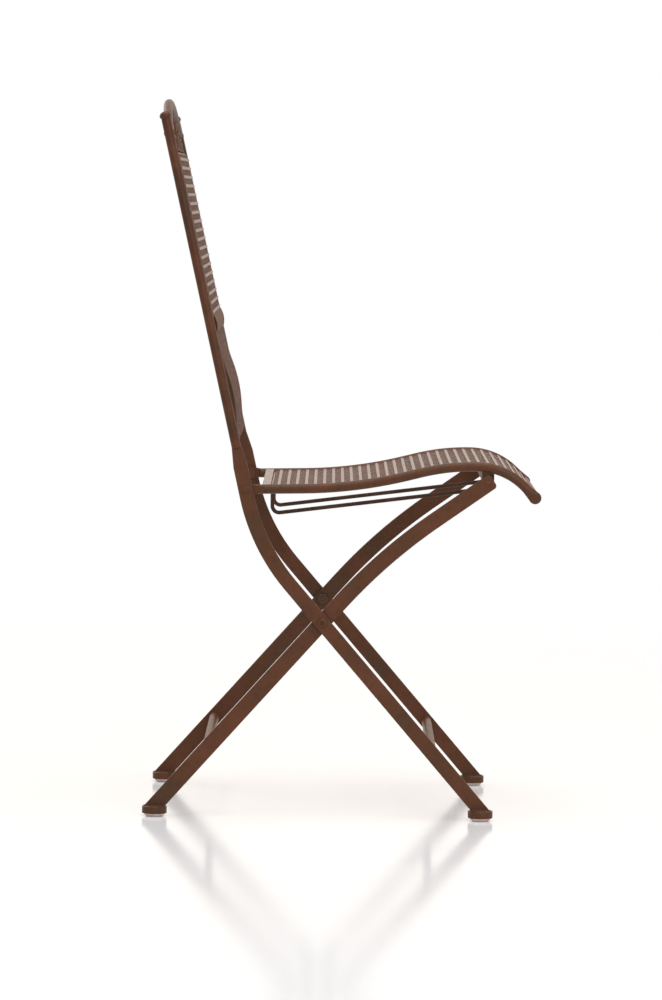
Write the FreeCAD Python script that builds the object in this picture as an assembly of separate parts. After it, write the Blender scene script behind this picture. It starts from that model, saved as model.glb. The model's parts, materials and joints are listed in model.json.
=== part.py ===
import FreeCAD, Part
import math
import os

# Folding iron garden chair. +X is the front, +Y the sitter's left, +Z up, floor at Z = 0.
# Millimetres and degrees. The side profile is drawn in the XZ plane from the seat pivot,
# and the finished pieces are moved so that the origin lies under the middle of the chair.

# Stock
tube_od = 12.5
tube_wall = 1.25
front_bar_width = 18.8
rear_bar_width = 20.5
bar_thick = 5.0
wire_od = 5.2
rod_od = 10.0
stretcher_od = 13.0
stretcher_wall = 1.5
strip_width = 4.0
strip_thick = 1.0

# Clearances
seat_gap = 0.3
running_fit = 0.05
plug_fit = 0.1
weld_gap = 0.1
washer_thick = 1.0

# Width across the outer leg bars, and the height of the pivot where the legs cross
outer_width = 400.0
leg_pivot_height = 257.0

# Back frame, measured along the posts from the seat pivot
back_lean = 12.8
post_foot_up = 56.6
post_top_up = 491.6
tongue_width = 8.4
tongue_length = 26.0
shoulder_drop = 26.0
arch_od = 12.0
arch_spring_drop = 19.0
arch_rise = 43.0
arch_forward = 2.6
panel_rail_od = 10.0
scroll_band = 28.0
panel_mid_up = 220.1
panel_bottom_up = 66.6
back_bulge = 5.0
bow_below = 32.0
band_height = 24.0
band_crown = 2.4
back_pitch = 12.0
upright_pitch = 18.0
finial_od = 15.4
finial_height = 11.0
finial_collar = 2.2
finial_flare = 1.0
finial_dome = 6.0
finial_spigot = 12.0

# Front legs: straight from the foot past the leg pivot, then bent up to the seat pivot and the post
front_leg_lean = 40.8
front_leg_bend = 265.0
front_elbow_up = 130.7
seat_pivot_up = 75.6

# Rear legs, crossing inside the front ones and bent forward to the slide rod
rear_leg_lean = 41.6
rear_leg_bend = 720.0
rear_elbow_up = 118.0
rear_top_over = 8.5
rear_top_round = 5.0

# Stretchers, measured down the legs from the leg pivot
stretcher_down = 223.0

# Feet
cap_od = 32.5
cap_height = 9.5
cap_edge = 1.0
glide_od = 29.0
glide_foot_od = 17.0
glide_swell = 0.65
glide_height = 4.0
glide_spigot_od = 16.0
glide_spigot = 4.0

# Seat wave from the pivot forward: flat, hollow, rise, crest, fall, lip
wave_start_lean = 1.3
flat_run = 76.0
hollow_radius = 605.0
hollow_turn = 13.2
rise_run = 14.5
crest_radius = 287.0
crest_turn = 15.2
fall_radius = 88.0
fall_turn = 45.0
lip_run = 18.4
seat_pitch = 12.0
lengthwise_pitch = 18.0
lattice_sink = 1.6
rear_border_at = 27.2
rear_border_width = 11.0
rear_border_thick = 2.0
rear_border_gap = 2.4
rail_tab_thick = 4.0
rail_inset = 0.5
rail_eye_od = 17.5
rail_tab_reach = 24.0
rail_tab_tip = 7.5
rail_tube_from = 14.0
front_pad_od = 16.2
front_pad_thick = 11.0
front_pad_edge = 2.5
pad_taper = 16.0

# Slide rod and its guide wires
rod_at = 323.2
rod_drop = 20.6
rod_stop_length = 12.0
rod_stop_width = 10.5
guide_lean = 7.4
guide_drop = 12.8
guide_bend = 9.0
guide_half_span = 81.0
guide_front_gap = 1.5

# Pivot fasteners
bolt_od = 8.0
bolt_head_od = 13.0
bolt_head_height = 2.6
pin_head_od = 11.5
pin_head_height = 1.2
washer_od = 17.0
nut_across = 13.0
nut_height = 5.0
rivet_od = 5.0
rivet_head_od = 8.5
rivet_head_height = 1.2

# Scrollwork under the arch
scroll_thick = 3.0
scroll_depth = 7.0
scroll_curl_share = 0.4
scroll_curl = 230.0
scroll_gap = 3.0
scroll_pairs = 3

# Worked-out places
tube_r = tube_od / 2
front_bar_half = front_bar_width / 2
rear_bar_half = rear_bar_width / 2
outer_plane = outer_width / 2 - bar_thick / 2
outer_inner_face = outer_width / 2 - bar_thick
inner_outer_face = outer_inner_face - washer_thick
inner_plane = inner_outer_face - bar_thick / 2
inner_inner_face = inner_outer_face - bar_thick
rail_plane = inner_outer_face - rail_inset - tube_r
cap_top = glide_height + cap_height
sides = (-1, 1)


def point(x, y, z):
    return FreeCAD.Vector(x, y, z)


def heading(angle):
    a = math.radians(angle)
    return point(math.cos(a), 0, math.sin(a))


def left_of(direction):
    return point(-direction.z, 0, direction.x)


leg_pivot = point(0, 0, leg_pivot_height)
post_up = heading(90 + back_lean)
post_front = heading(back_lean)
front_leg_dir = heading(front_leg_lean - 90)
rear_leg_dir = heading(-90 - rear_leg_lean)
front_elbow = leg_pivot - front_leg_dir * front_elbow_up
seat_pivot = front_elbow + post_up * seat_pivot_up
arch_spring_up = post_top_up - arch_spring_drop
arch_apex_up = arch_spring_up + arch_rise
panel_top_up = arch_spring_up - scroll_band


def on_back(up, front=0.0, y=0.0):
    """A place on the back frame: up the posts from the seat pivot, and forward of their plane."""
    return seat_pivot + post_up * up + post_front * front + point(0, y, 0)


def stations(start, angle, runs):
    """Walk straight runs and bends in the side profile; each stretch keeps start, middle and end."""
    out = []
    here = start
    for length, radius, turn in runs:
        spots = []
        for share in (0.0, 0.5, 1.0):
            if radius is None:
                spots.append((here + heading(angle) * (length * share), angle))
            else:
                side = 1 if turn > 0 else -1
                centre = here + left_of(heading(angle)) * (radius * side)
                now = angle + turn * share
                spots.append((centre - left_of(heading(now)) * (radius * side), now))
        out.append((radius is None, spots))
        here, angle = spots[2]
    return out


def straight(length):
    return (length, None, 0.0)


def bend(radius, turn):
    return (radius * math.radians(abs(turn)), radius, turn)


def along(runs, path, distance):
    """Place and heading at a distance along a walked path."""
    for (length, radius, turn), (is_line, spots) in zip(runs, path):
        if distance <= length or path[-1][1] is spots:
            share = distance / length
            base, angle = spots[0]
            if is_line:
                return base + heading(angle) * distance, angle
            side = 1 if turn > 0 else -1
            centre = base + left_of(heading(angle)) * (radius * side)
            now = angle + turn * share
            return centre - left_of(heading(now)) * (radius * side), now
        distance -= length


def shifted_edges(path, offset, y):
    """Edges of a walked path, moved to its left by an offset and out to a given Y."""
    edges = []
    for is_line, spots in path:
        a, m, b = [p + left_of(heading(t)) * offset + point(0, y, 0) for p, t in spots]
        edges.append(Part.LineSegment(a, b).toShape() if is_line else Part.Arc(a, m, b).toShape())
    return edges


def ribbon(path, low, high, y, width):
    """A band between two offsets of a path, extruded along Y about the plane y."""
    lower = shifted_edges(path, low, y - width / 2)
    upper = shifted_edges(path, high, y - width / 2)
    first = Part.LineSegment(lower[0].valueAt(lower[0].FirstParameter),
                             upper[0].valueAt(upper[0].FirstParameter)).toShape()
    last = Part.LineSegment(lower[-1].valueAt(lower[-1].LastParameter),
                            upper[-1].valueAt(upper[-1].LastParameter)).toShape()
    wire = Part.Wire(Part.__sortEdges__(lower + upper + [first, last]))
    return Part.Face(wire).extrude(point(0, width, 0))


def pipe(edges, radius):
    """A round solid swept along edges that meet in tangent."""
    wire = Part.Wire(edges)
    start = edges[0].valueAt(edges[0].FirstParameter)
    aim = edges[0].tangentAt(edges[0].FirstParameter)
    ring = Part.Wire([Part.Circle(start, aim, radius).toShape()])
    return wire.makePipeShell([ring], True, True)


def disc(od, y_from, y_to, at):
    """A round solid across the chair, between two Y planes."""
    low, high = sorted((y_from, y_to))
    return Part.makeCylinder(od / 2, high - low, point(at.x, low, at.z), point(0, 1, 0))


def cross_tube(od, wall, half, at):
    """A tube from side to side of the chair."""
    return disc(od, -half, half, at).cut(disc(od - 2 * wall, -half, half, at))


def side_polygon(points, y_low, y_high):
    """A straight-edged plate drawn in the side profile."""
    corners = [point(p.x, y_low, p.z) for p in points]
    face = Part.Face(Part.makePolygon(corners + corners[:1]))
    return face.extrude(point(0, y_high - y_low, 0))


def dome(head_od, height, at, y_face, side):
    """A round bolt or rivet head standing out of a face that looks along side times Y."""
    bulge = (head_od ** 2 / 4 + height ** 2) / (2 * height)
    centre = point(at.x, y_face + side * (height - bulge), at.z)
    ball = Part.makeSphere(bulge, centre)
    return ball.common(disc(2 * head_od, y_face, y_face + side * 2 * height, at))


def group(shapes):
    return Part.makeCompound(shapes)


def largest(shape):
    return max(shape.Solids, key=lambda solid: solid.Volume)


parts = {}


# Side profile paths
def angle_of(direction):
    return math.degrees(math.atan2(direction.z, direction.x))


def leg_runs(top, elbow, radius, end_dir):
    """Straight, bend, straight: from the top of a leg bar to just under the top of its foot cap."""
    top_angle = angle_of(elbow - top)
    turn = angle_of(end_dir) - top_angle
    tangent = radius * math.tan(math.radians(abs(turn) / 2))
    upper = (elbow - top).Length - tangent
    lower_start = elbow + end_dir * tangent
    lower = (lower_start.z - glide_height) / -end_dir.z
    return top_angle, [straight(upper), bend(radius, turn), straight(lower)]


front_top = on_back(post_foot_up - shoulder_drop)
front_top_angle, front_runs = leg_runs(front_top, front_elbow, front_leg_bend, front_leg_dir)
front_path = stations(front_top, front_top_angle, front_runs)

wave_runs = [
    straight(flat_run),
    bend(hollow_radius, hollow_turn),
    straight(rise_run),
    bend(crest_radius, -crest_turn),
    bend(fall_radius, -fall_turn),
    straight(lip_run),
]
wave_path = stations(seat_pivot, wave_start_lean, wave_runs)
wave_length = sum(run[0] for run in wave_runs)


def on_wave(distance, offset=0.0, y=0.0):
    """A place on the seat wave, lifted off the rail axis by an offset, and the heading there."""
    spot, angle = along(wave_runs, wave_path, distance)
    return spot + left_of(heading(angle)) * offset + point(0, y, 0), angle


# The slide rod lies below the seat rails, and the rear legs end a little above it.
rod_place = on_wave(rod_at, -rod_drop)[0]
rear_elbow = leg_pivot - rear_leg_dir * rear_elbow_up
rear_top = rod_place + (rod_place - rear_elbow).normalize() * rear_top_over
rear_top_angle, rear_runs = leg_runs(rear_top, rear_elbow, rear_leg_bend, rear_leg_dir)
rear_path = stations(rear_top, rear_top_angle, rear_runs)

# Posts and front leg bars
bolt_hole = bolt_od + 2 * running_fit


def below_cap(y):
    """The space under the top of a foot cap, where a leg bar stops."""
    reach = outer_width * 2
    return Part.makeBox(reach, bar_thick * 2, cap_top + reach, point(-reach / 2, y - bar_thick, -reach))


def post(side):
    y = side * outer_plane
    height = post_top_up - post_foot_up
    shell = Part.makeCylinder(tube_r, height, on_back(post_foot_up, y=y), post_up)
    bore = Part.makeCylinder(tube_r - tube_wall, height, on_back(post_foot_up, y=y), post_up)
    return shell.cut(bore)


def front_leg(side):
    y = side * outer_plane
    low, high = y - bar_thick / 2, y + bar_thick / 2
    bar = ribbon(front_path, -front_bar_half, front_bar_half, y, bar_thick)
    shoulder = side_polygon([on_back(post_foot_up - shoulder_drop, -front_bar_half),
                             on_back(post_foot_up - shoulder_drop, front_bar_half),
                             on_back(post_foot_up, tube_r),
                             on_back(post_foot_up, -tube_r)], low, high)
    tongue = side_polygon([on_back(post_foot_up, -tongue_width / 2),
                           on_back(post_foot_up, tongue_width / 2),
                           on_back(post_foot_up + tongue_length, tongue_width / 2),
                           on_back(post_foot_up + tongue_length, -tongue_width / 2)], low, high)
    leg = bar.fuse(shoulder).fuse(tongue).removeSplitter()
    leg = leg.cut(below_cap(y))
    leg = leg.cut(disc(bolt_hole, low, high, leg_pivot))
    return leg.cut(disc(bolt_hole, low, high, seat_pivot))


def rear_leg(side):
    y = side * inner_plane
    low, high = y - bar_thick / 2, y + bar_thick / 2
    bar = ribbon(rear_path, -rear_bar_half, rear_bar_half, y, bar_thick)
    end = rear_top + point(0, y, 0)
    corners = [e for e in bar.Edges if (e.CenterOfMass - end).Length < rear_bar_width]
    corners = [e for e in corners if abs(e.tangentAt(e.FirstParameter).y) > e.Length / bar_thick / 2]
    bar = bar.makeFillet(rear_top_round, corners)
    leg = bar.cut(below_cap(y))
    leg = leg.cut(disc(rivet_od + 2 * running_fit, low, high, rod_place))
    return leg.cut(disc(bolt_hole, low, high, leg_pivot))


for name, side in (("right", -1), ("left", 1)):
    parts[name + "_back_post"] = post(side)
    parts[name + "_front_leg"] = front_leg(side)
    parts[name + "_rear_leg"] = rear_leg(side)


# Finials: a domed cap with a collar, and a spigot in the post's bore
def finial(side):
    bore_r = tube_r - tube_wall - plug_fit
    cap_r = finial_od / 2
    base = on_back(post_top_up, y=side * outer_plane)
    flare_top = finial_collar + finial_flare
    dome_start = finial_height - finial_dome
    shoulder = math.sqrt(0.5)
    corners = [point(0, 0, -finial_spigot), point(bore_r, 0, -finial_spigot), point(bore_r, 0, 0),
               point(tube_r, 0, 0), point(tube_r, 0, finial_collar), point(cap_r, 0, flare_top),
               point(cap_r, 0, dome_start)]
    outline = [Part.LineSegment(a, b).toShape() for a, b in zip(corners, corners[1:])]
    tip = point(0, 0, finial_height)
    crown = point(cap_r * shoulder, 0, dome_start + finial_dome * shoulder)
    outline.append(Part.Arc(corners[-1], crown, tip).toShape())
    outline.append(Part.LineSegment(tip, corners[0]).toShape())
    solid = Part.Face(Part.Wire(outline)).revolve(point(0, 0, 0), point(0, 0, 1), 360)
    turn = FreeCAD.Rotation(point(0, 0, 1), post_up)
    return solid.transformGeometry(FreeCAD.Placement(base, turn).toMatrix())


parts["post_finials"] = group([finial(side) for side in sides])

# Arched top rail and cross rails of the back, each cut to fit round the posts
def between_posts(rail, up):
    """The stretch of a rail between the posts; up is the height at which it meets them."""
    reach = 2 * tube_od
    for side in sides:
        foot = on_back(up - reach, y=side * outer_plane)
        rail = rail.cut(Part.makeCylinder(tube_r, 2 * reach, foot, post_up))
    return largest(rail)


arch_half = outer_plane
arch_arc = Part.Arc(on_back(arch_spring_up, y=-arch_half), on_back(arch_apex_up, arch_forward),
                    on_back(arch_spring_up, y=arch_half)).toShape()
parts["back_top_rail"] = between_posts(pipe([arch_arc], arch_od / 2), arch_spring_up)

panel_half = outer_plane - tube_r
for name, up in (("panel_top_rail", panel_top_up), ("panel_middle_rail", panel_mid_up),
                 ("back_bottom_rail", panel_bottom_up)):
    rail = disc(panel_rail_od, -outer_plane, outer_plane, on_back(up))
    parts[name] = between_posts(rail, up)

# Uprights of the back: straight past the middle rail, then bowed forward down to the bottom rail
upright_back = panel_rail_od / 2
bow_chord = panel_mid_up - bow_below - panel_bottom_up
bow_turn = 2 * math.degrees(math.atan(2 * back_bulge / (bow_chord / 2)))
bow_radius = bow_chord / 4 / math.sin(math.radians(bow_turn / 2))
upright_runs = [
    straight(panel_top_up - panel_mid_up + bow_below),
    bend(bow_radius, bow_turn / 2),
    bend(bow_radius, -bow_turn),
    bend(bow_radius, bow_turn / 2),
]
upright_path = stations(on_back(panel_top_up, upright_back), back_lean - 90, upright_runs)


def spread(half, pitch):
    """Even places across the chair, no closer to the sides than half a pitch."""
    count = int(2 * half / pitch)
    return [(i - (count - 1) / 2) * pitch for i in range(count)]


parts["back_uprights"] = group([ribbon(upright_path, 0, strip_thick, y, strip_width)
                                for y in spread(panel_half, upright_pitch)])


# A half-round bar over the uprights in front of the middle rail, from post to post
band_back = upright_back + strip_thick + weld_gap
band_half = panel_half - seat_gap
band_top = on_back(panel_mid_up + band_height / 2, band_back, -band_half)
band_crest = on_back(panel_mid_up, band_back + band_crown, -band_half)
band_bottom = on_back(panel_mid_up - band_height / 2, band_back, -band_half)
band_outline = Part.Wire([Part.Arc(band_top, band_crest, band_bottom).toShape(),
                          Part.LineSegment(band_bottom, band_top).toShape()])
middle_band = Part.Face(band_outline).extrude(point(0, 2 * band_half, 0))
parts["panel_middle_rail"] = group([parts["panel_middle_rail"], middle_band])


def cross_strip(middle, front_dir, up_dir, half, width):
    """A flat strip from side to side whose back lies on a place and whose face looks along front_dir."""
    low = middle - up_dir * (width / 2)
    high = middle + up_dir * (width / 2)
    face = front_dir * strip_thick
    return side_polygon([low, high, high + face, low + face], -half, half)


panel_first = panel_top_up - back_pitch / 2
panel_last = panel_mid_up + (band_height + strip_width) / 2 + weld_gap
panel_count = int((panel_first - panel_last) / back_pitch) + 1
parts["back_cross_strips"] = group([
    cross_strip(on_back(panel_first - i * back_pitch, upright_back + strip_thick), post_front, post_up,
                panel_half - seat_gap, strip_width)
    for i in range(panel_count)])


# Scrolls under the arch: pairs of volutes in flat strip, and a ring in the middle
def on_back_plane(y, up):
    return on_back(up, -scroll_depth / 2, y)


def scroll_band_solid(arcs):
    """A flat strip bent through arcs given as centre, radius and end angles in the plane of the back."""
    pieces = []
    for y, up, radius, start, end in arcs:
        rims = []
        for r in (radius - scroll_thick / 2, radius + scroll_thick / 2):
            spots = []
            for share in (0.0, 0.5, 1.0):
                a = math.radians(start + (end - start) * share)
                spots.append(on_back_plane(y + r * math.cos(a), up + r * math.sin(a)))
            rims.append(spots)
        inner, outer = rims
        edges = [Part.Arc(*inner).toShape(), Part.LineSegment(inner[2], outer[2]).toShape(),
                 Part.Arc(*outer).toShape(), Part.LineSegment(outer[0], inner[0]).toShape()]
        face = Part.Face(Part.Wire(Part.__sortEdges__(edges)))
        pieces.append(face.extrude(post_front * scroll_depth))
    band = pieces[0]
    for piece in pieces[1:]:
        band = band.fuse(piece)
    return band.removeSplitter()


def arch_under(y):
    """Height of the underside of the arch above a place on the back."""
    radius = (arch_half ** 2 + arch_rise ** 2) / (2 * arch_rise)
    return arch_apex_up - radius + math.sqrt((radius - arch_od / 2) ** 2 - y ** 2)


scroll_floor = panel_top_up + panel_rail_od / 2


def scroll_radius(edge):
    """Middle radius of the largest round of strip that stands under the arch outward of an edge."""
    radius = (arch_under(edge) - scroll_floor) / 2
    for _ in range(8):
        radius = (arch_under(edge + 2 * radius) - scroll_floor) / 2
    return radius - scroll_thick / 2


def volute(side, edge, big):
    """A C scroll that stands on the panel rail, reaches the arch and curls in towards the middle."""
    small = big * scroll_curl_share
    y = side * (edge + big + scroll_thick / 2)
    up = scroll_floor + scroll_thick / 2 + big
    turns = [(up - big + small, small, -90 - scroll_curl, -90),
             (up, big, -90, 90),
             (up + big - small, small, 90, 90 + scroll_curl)]
    if side > 0:
        arcs = [(y, height, radius, start, end) for height, radius, start, end in turns]
    else:
        arcs = [(y, height, radius, 180 - start, 180 - end) for height, radius, start, end in turns]
    return scroll_band_solid(arcs)


ring_radius = (arch_under(0) - scroll_floor) / 2 - scroll_thick / 2
ring_up = scroll_floor + ring_radius + scroll_thick / 2
scrolls = [scroll_band_solid([(0, ring_up, ring_radius, 0, 180), (0, ring_up, ring_radius, 180, 360)])]
scroll_edge = ring_radius + scroll_thick / 2 + scroll_gap
for pair in range(scroll_pairs):
    reach = scroll_radius(scroll_edge)
    scrolls += [volute(side, scroll_edge, reach) for side in sides]
    scroll_edge += 2 * reach + scroll_thick + scroll_gap
parts["arch_scrolls"] = group(scrolls)

# Stretchers between the legs
front_stretcher_at = leg_pivot + front_leg_dir * stretcher_down
rear_stretcher_at = leg_pivot + rear_leg_dir * stretcher_down
parts["front_stretcher"] = cross_tube(stretcher_od, stretcher_wall, outer_inner_face, front_stretcher_at)
parts["rear_stretcher"] = cross_tube(stretcher_od, stretcher_wall, inner_inner_face, rear_stretcher_at)


# Feet: a round cap under each leg bar, with a pale dished glide pushed up into it
def foot_place(direction):
    drop = (leg_pivot.z - cap_top) / -direction.z
    return leg_pivot + direction * drop


def cap(at, y):
    base = point(at.x, y, glide_height)
    body = Part.makeCylinder(cap_od / 2, cap_height, base)
    rims = [e for e in body.Edges if isinstance(e.Curve, Part.Circle)]
    body = body.makeChamfer(cap_edge, rims)
    return body.cut(Part.makeCylinder(glide_spigot_od / 2 + plug_fit, glide_spigot + plug_fit, base))


def glide(at, y):
    rim_r, foot_r, spigot_r = glide_od / 2, glide_foot_od / 2, glide_spigot_od / 2
    spigot_top = glide_height + glide_spigot
    foot, rim = point(foot_r, 0, 0), point(rim_r, 0, glide_height)
    swell = point(foot_r + (rim_r - foot_r) * glide_swell, 0, glide_height / 2)
    outline = Part.makePolygon([point(0, 0, 0), foot, swell, rim, point(spigot_r, 0, glide_height),
                                point(spigot_r, 0, spigot_top), point(0, 0, spigot_top), point(0, 0, 0)])
    solid = Part.Face(outline).revolve(point(0, 0, 0), point(0, 0, 1), 360)
    solid.translate(point(at.x, y, 0))
    return solid


for name, direction, plane in (("front", front_leg_dir, outer_plane), ("rear", rear_leg_dir, inner_plane)):
    at = foot_place(direction)
    parts[name + "_foot_caps"] = group([cap(at, side * plane) for side in sides])
    parts[name + "_foot_glides"] = group([glide(at, side * plane) for side in sides])


# Seat rails: round tube, pressed flat to an eye at the pivot and to a rounded pad at the front lip
def seat_rail(side):
    y = side * rail_plane
    eye_out = side * inner_outer_face
    eye_in = side * (inner_outer_face - rail_tab_thick)
    rail_runs = [straight(flat_run - rail_tube_from)] + wave_runs[1:]
    rail_path = stations(on_wave(rail_tube_from)[0], wave_start_lean, rail_runs)
    tube = pipe(shifted_edges(rail_path, 0, y), tube_r)
    low, high = sorted((eye_in, eye_out))
    eye = disc(rail_eye_od, low, high, seat_pivot)
    half = rail_eye_od / 2
    tip = rail_tab_tip / 2
    tab = side_polygon([on_wave(0, -half)[0], on_wave(0, half)[0],
                        on_wave(rail_tab_reach, tip)[0], on_wave(rail_tab_reach, -tip)[0]], low, high)
    end, angle = on_wave(wave_length, 0, y)
    aim = heading(angle)
    round_end = Part.Wire([Part.Circle(end - aim * pad_taper, aim, tube_r).toShape()])
    flat_end = Part.Ellipse(end, front_pad_od / 2, front_pad_thick / 2)
    flat_end.Axis = aim
    flat_end.XAxis = left_of(aim)
    taper = Part.makeLoft([round_end, Part.Wire([flat_end.toShape()])], True)
    pad = disc(front_pad_od, y - front_pad_thick / 2, y + front_pad_thick / 2, end)
    pad = pad.makeChamfer(front_pad_edge, [e for e in pad.Edges if isinstance(e.Curve, Part.Circle)])
    rail = tube.fuse(taper).fuse(pad).fuse(eye.fuse(tab).removeSplitter())
    return rail.cut(disc(bolt_hole, low, high, seat_pivot))


parts["right_seat_rail"] = seat_rail(-1)
parts["left_seat_rail"] = seat_rail(1)

lip_place = on_wave(wave_length)[0]
front_rail = cross_tube(tube_od, tube_wall, rail_plane - front_pad_thick / 2, lip_place)
for rail_side in ("right", "left"):
    front_rail = front_rail.cut(parts[rail_side + "_seat_rail"])
parts["seat_front_rail"] = largest(front_rail)

# Seat lattice: lengthwise strips below, cross strips laid on them, and at the rear a border strip
# with a wire across the seat under the gap in front of it
lattice_top = tube_r - lattice_sink
lattice_half = rail_plane - math.sqrt(tube_r ** 2 - (lattice_top - 2 * strip_thick) ** 2) - seat_gap
cross_seat_half = rail_plane - math.sqrt(tube_r ** 2 - (lattice_top - strip_thick) ** 2) - seat_gap
lattice_from = rear_border_at + rear_border_width / 2 + rear_border_gap
lattice_to = wave_length - math.sqrt(tube_r ** 2 - (lattice_top - 2 * strip_thick) ** 2) - seat_gap
strip_lip = lip_run - (wave_length - lattice_to)
strip_runs = [straight(flat_run - lattice_from)] + wave_runs[1:-1] + [straight(strip_lip)]
strip_path = stations(on_wave(lattice_from)[0], wave_start_lean, strip_runs)
parts["seat_lengthwise_strips"] = group([
    ribbon(strip_path, lattice_top - 2 * strip_thick, lattice_top - strip_thick, y, strip_width)
    for y in spread(lattice_half, lengthwise_pitch)])


def seat_strip(distance, width, thick, low):
    """A strip across the seat, square to the wave, with its underside at an offset from the rail axis."""
    spot, angle = on_wave(distance, low)
    ahead = heading(angle) * (width / 2)
    lift = left_of(heading(angle)) * thick
    corners = [spot - ahead, spot + ahead, spot + ahead + lift, spot - ahead + lift]
    return side_polygon(corners, -cross_seat_half, cross_seat_half)


cross_first = lattice_from + seat_pitch - strip_width
cross_last = lattice_to - strip_width
cross_count = int((cross_last - cross_first) / seat_pitch) + 1
parts["seat_cross_strips"] = group([
    seat_strip(cross_first + i * seat_pitch, strip_width, strip_thick, lattice_top - strip_thick)
    for i in range(cross_count)])
wire_top = lattice_top - 2 * strip_thick - weld_gap
border = seat_strip(rear_border_at, rear_border_width, rear_border_thick, lattice_top - strip_thick)
rear_wire_place = on_wave(lattice_from - rear_border_gap / 2, wire_top - wire_od / 2)[0]
rear_wire_half = rail_plane - tube_r - seat_gap
rear_wire = disc(wire_od, -rear_wire_half, rear_wire_half, rear_wire_place)
parts["seat_rear_border"] = group([border, rear_wire])

# Guide wires under the seat, which hold the slide rod, from the rear wire to the front of the lattice
guide_dir = heading(guide_lean)
guide_front_at = rod_place.x + rod_od / 2 + guide_front_gap + wire_od / 2
guide_low = rod_place - left_of(guide_dir) * guide_drop


def on_run(x):
    return guide_low + guide_dir * ((x - guide_low.x) / guide_dir.x)


def lattice_underside(x):
    """The place under the lengthwise strips above a given X where a square-cut wire end clears them."""
    low, high = 0.0, wave_length
    for _ in range(40):
        middle = (low + high) / 2
        if on_wave(middle, wire_top)[0].x < x:
            low = middle
        else:
            high = middle
    spot, angle = on_wave(low, wire_top)
    return spot - point(0, 0, wire_od / 2 * math.tan(math.radians(abs(angle))))


def rounded_run(corners, radius):
    """Straight edges through corners in the side profile, with a round bend at each inner corner."""
    edges = []
    here = corners[0]
    for before, corner, after in zip(corners, corners[1:], corners[2:]):
        a = (before - corner).normalize()
        b = (after - corner).normalize()
        half_angle = a.getAngle(b) / 2
        reach = radius / math.tan(half_angle)
        middle_dir = (a + b).normalize()
        centre = corner + middle_dir * (radius / math.sin(half_angle))
        start, end = corner + a * reach, corner + b * reach
        edges.append(Part.LineSegment(here, start).toShape())
        edges.append(Part.Arc(start, centre - middle_dir * radius, end).toShape())
        here = end
    edges.append(Part.LineSegment(here, corners[-1]).toShape())
    return edges


def guide_wire(side):
    y = side * guide_half_span
    rear_end = rear_wire_place - point(0, 0, wire_od / 2 + weld_gap)
    corners = [rear_end, on_run(rear_end.x), on_run(guide_front_at), lattice_underside(guide_front_at)]
    return pipe(rounded_run([c + point(0, y, 0) for c in corners], guide_bend), wire_od / 2)


parts["right_guide_wire"] = guide_wire(-1)
parts["left_guide_wire"] = guide_wire(1)

# Stops under the seat rails, which rest on the slide rod when the chair stands open
def rod_stop(side):
    lift = left_of(guide_dir)
    low = rod_place + lift * (rod_od / 2 + seat_gap)
    high = rod_place + lift * rod_drop
    ahead = guide_dir * (rod_stop_length / 2)
    y_out = side * (inner_inner_face - seat_gap)
    y_in = y_out - side * rod_stop_width
    block = side_polygon([low - ahead, low + ahead, high + ahead, high - ahead],
                         min(y_in, y_out), max(y_in, y_out))
    rail = parts["left_seat_rail" if side > 0 else "right_seat_rail"]
    pieces = block.cut(rail).Solids
    return min(pieces, key=lambda solid: solid.CenterOfMass.z)


parts["rod_stops"] = group([rod_stop(side) for side in sides])

# Slide rod between the rear leg tops, and the rivets in those tops
parts["slide_rod"] = disc(rod_od, -(inner_inner_face - seat_gap), inner_inner_face - seat_gap, rod_place)


def rod_rivet(side):
    head = dome(rivet_head_od, rivet_head_height, rod_place, side * inner_outer_face, side)
    shank = disc(rivet_od, side * inner_inner_face, side * inner_outer_face, rod_place)
    return head.fuse(shank).removeSplitter()


parts["rod_rivets"] = group([rod_rivet(side) for side in sides])


# Pivot bolts with a domed head outside, a washer between the bars and a nut inside
def hexagon(at, y_from, y_to):
    corner = nut_across / 2 / math.cos(math.radians(30))
    spots = [at + heading(60 * i) * corner for i in range(6)]
    low, high = sorted((y_from, y_to))
    return side_polygon(spots, low, high)


def fasteners(name, at, inner_face, head_od, head_height):
    bolts = []
    washers = []
    nuts = []
    for side in sides:
        outer = side * outer_width / 2
        nut_in = side * (inner_face - nut_height)
        head = dome(head_od, head_height, at, outer, side)
        shank = disc(bolt_od, nut_in, outer, at)
        bolts.append(head.fuse(shank).removeSplitter())
        ring = disc(washer_od, side * inner_outer_face, side * outer_inner_face, at)
        washers.append(ring.cut(disc(bolt_hole, side * inner_outer_face, side * outer_inner_face, at)))
        nut = hexagon(at, side * inner_face, nut_in)
        nuts.append(nut.cut(disc(bolt_hole, side * inner_face, nut_in, at)))
    parts[name + "_bolts"] = group(bolts)
    parts[name + "_washers"] = group(washers)
    parts[name + "_nuts"] = group(nuts)


fasteners("leg_pivot", leg_pivot, inner_inner_face, bolt_head_od, bolt_head_height)
fasteners("seat_pivot", seat_pivot, inner_outer_face - rail_tab_thick, pin_head_od, pin_head_height)

# The origin lies on the floor, midway between the rear caps and the lip of the seat.
rear_reach = foot_place(rear_leg_dir).x - cap_od / 2
front_reach = lip_place.x + front_pad_od / 2
to_origin = point(-(rear_reach + front_reach) / 2, 0, 0)

os.makedirs("parts", exist_ok=True)
for node, shape in parts.items():
    shape.translate(to_origin)
    shape.exportStep("parts/" + node + ".step")
    print(node, len(shape.Solids), "solids, valid:", shape.isValid())
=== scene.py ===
import json
import math

import bmesh
import bpy
from bpy.props import FloatProperty, FloatVectorProperty, PointerProperty
from mathutils import Matrix, Vector, noise

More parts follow.
